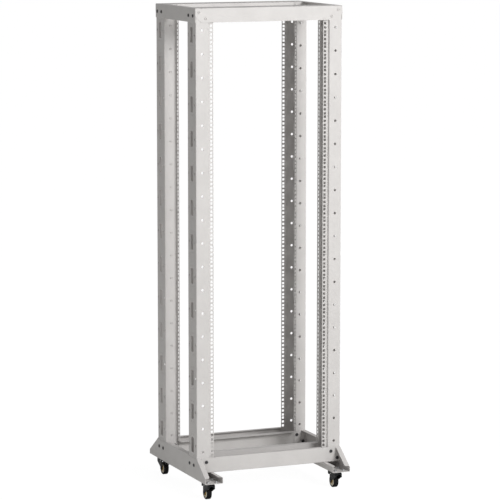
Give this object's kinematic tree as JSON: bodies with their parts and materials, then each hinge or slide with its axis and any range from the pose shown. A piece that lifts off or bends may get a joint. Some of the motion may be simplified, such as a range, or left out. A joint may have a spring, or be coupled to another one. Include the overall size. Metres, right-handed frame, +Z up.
{
  "type": "four post open frame equipment rack on casters",
  "caption": "Open four-post 19-inch equipment rack of bent sheet steel with perforated rails, box base, sloping feet and braked swivel casters.",
  "frame": {"origin": "on the floor, at the centre of the four wheels", "axes": "+X to the rack's right seen from the front, +Y to its back, +Z up"},
  "size_m": [0.6, 0.6, 1.8615],
  "materials": {
    "frame_paint": "light grey fine-texture powder coat",
    "caster_black": "black enamel on pressed steel",
    "axle_zinc": "black oxide",
    "tyre_rubber": "black rubber",
    "hub_nylon": "cream moulded nylon",
    "bush_brass": "turned brass",
    "pedal_plastic": "black moulded nylon"
  },
  "bodies": {
    "root": {"post_front_left": "frame_paint", "post_front_right": "frame_paint", "post_rear_left": "frame_paint", "post_rear_right": "frame_paint", "top_front_beam": "frame_paint", "top_rear_beam": "frame_paint", "top_left_beam": "frame_paint", "top_right_beam": "frame_paint", "base_front_beam": "frame_paint", "base_rear_beam": "frame_paint", "foot_left": "frame_paint", "foot_right": "frame_paint", "caster_plate_front_left": "caster_black", "caster_plate_front_right": "caster_black", "caster_plate_rear_left": "caster_black", "caster_plate_rear_right": "caster_black"},
    "swivel_front_left": {"caster_fork_front_left": "caster_black", "wheel_axle_front_left": "axle_zinc"},
    "wheel_front_left": {"wheel_tyre_front_left": "tyre_rubber", "wheel_hub_front_left": "hub_nylon", "wheel_bush_front_left": "bush_brass"},
    "brake_front_left": {"brake_pedal_front_left": "pedal_plastic"},
    "swivel_front_right": {"caster_fork_front_right": "caster_black", "wheel_axle_front_right": "axle_zinc"},
    "wheel_front_right": {"wheel_tyre_front_right": "tyre_rubber", "wheel_hub_front_right": "hub_nylon", "wheel_bush_front_right": "bush_brass"},
    "brake_front_right": {"brake_pedal_front_right": "pedal_plastic"},
    "swivel_rear_left": {"caster_fork_rear_left": "caster_black", "wheel_axle_rear_left": "axle_zinc"},
    "wheel_rear_left": {"wheel_tyre_rear_left": "tyre_rubber", "wheel_hub_rear_left": "hub_nylon", "wheel_bush_rear_left": "bush_brass"},
    "brake_rear_left": {"brake_pedal_rear_left": "pedal_plastic"},
    "swivel_rear_right": {"caster_fork_rear_right": "caster_black", "wheel_axle_rear_right": "axle_zinc"},
    "wheel_rear_right": {"wheel_tyre_rear_right": "tyre_rubber", "wheel_hub_rear_right": "hub_nylon", "wheel_bush_rear_right": "bush_brass"},
    "brake_rear_right": {"brake_pedal_rear_right": "pedal_plastic"}
  },
  "joints": [
    {"name": "swivel_front_left_turn", "type": "hinge", "parent": "root", "child": "swivel_front_left", "pos_m": [-0.264, -0.258, 0.065], "axis": [0, 0, 1], "continuous": true},
    {"name": "wheel_front_left_roll", "type": "hinge", "parent": "swivel_front_left", "child": "wheel_front_left", "pos_m": [-0.264, -0.23, 0.025], "axis": [1, 0, 0], "continuous": true},
    {"name": "brake_front_left_press", "type": "hinge", "parent": "swivel_front_left", "child": "brake_front_left", "pos_m": [-0.264, -0.234, 0.0557], "axis": [-1, 0, 0], "range_deg": [0, 10]},
    {"name": "swivel_front_right_turn", "type": "hinge", "parent": "root", "child": "swivel_front_right", "pos_m": [0.264, -0.258, 0.065], "axis": [0, 0, 1], "continuous": true},
    {"name": "wheel_front_right_roll", "type": "hinge", "parent": "swivel_front_right", "child": "wheel_front_right", "pos_m": [0.264, -0.23, 0.025], "axis": [1, 0, 0], "continuous": true},
    {"name": "brake_front_right_press", "type": "hinge", "parent": "swivel_front_right", "child": "brake_front_right", "pos_m": [0.264, -0.234, 0.0557], "axis": [-1, 0, 0], "range_deg": [0, 10]},
    {"name": "swivel_rear_left_turn", "type": "hinge", "parent": "root", "child": "swivel_rear_left", "pos_m": [-0.264, 0.258, 0.065], "axis": [0, 0, 1], "continuous": true},
    {"name": "wheel_rear_left_roll", "type": "hinge", "parent": "swivel_rear_left", "child": "wheel_rear_left", "pos_m": [-0.264, 0.23, 0.025], "axis": [1, 0, 0], "continuous": true},
    {"name": "brake_rear_left_press", "type": "hinge", "parent": "swivel_rear_left", "child": "brake_rear_left", "pos_m": [-0.264, 0.234, 0.0557], "axis": [1, 0, 0], "range_deg": [0, 10]},
    {"name": "swivel_rear_right_turn", "type": "hinge", "parent": "root", "child": "swivel_rear_right", "pos_m": [0.264, 0.258, 0.065], "axis": [0, 0, 1], "continuous": true},
    {"name": "wheel_rear_right_roll", "type": "hinge", "parent": "swivel_rear_right", "child": "wheel_rear_right", "pos_m": [0.264, 0.23, 0.025], "axis": [1, 0, 0], "continuous": true},
    {"name": "brake_rear_right_press", "type": "hinge", "parent": "swivel_rear_right", "child": "brake_rear_right", "pos_m": [0.264, 0.234, 0.0557], "axis": [1, 0, 0], "range_deg": [0, 10]}
  ]
}
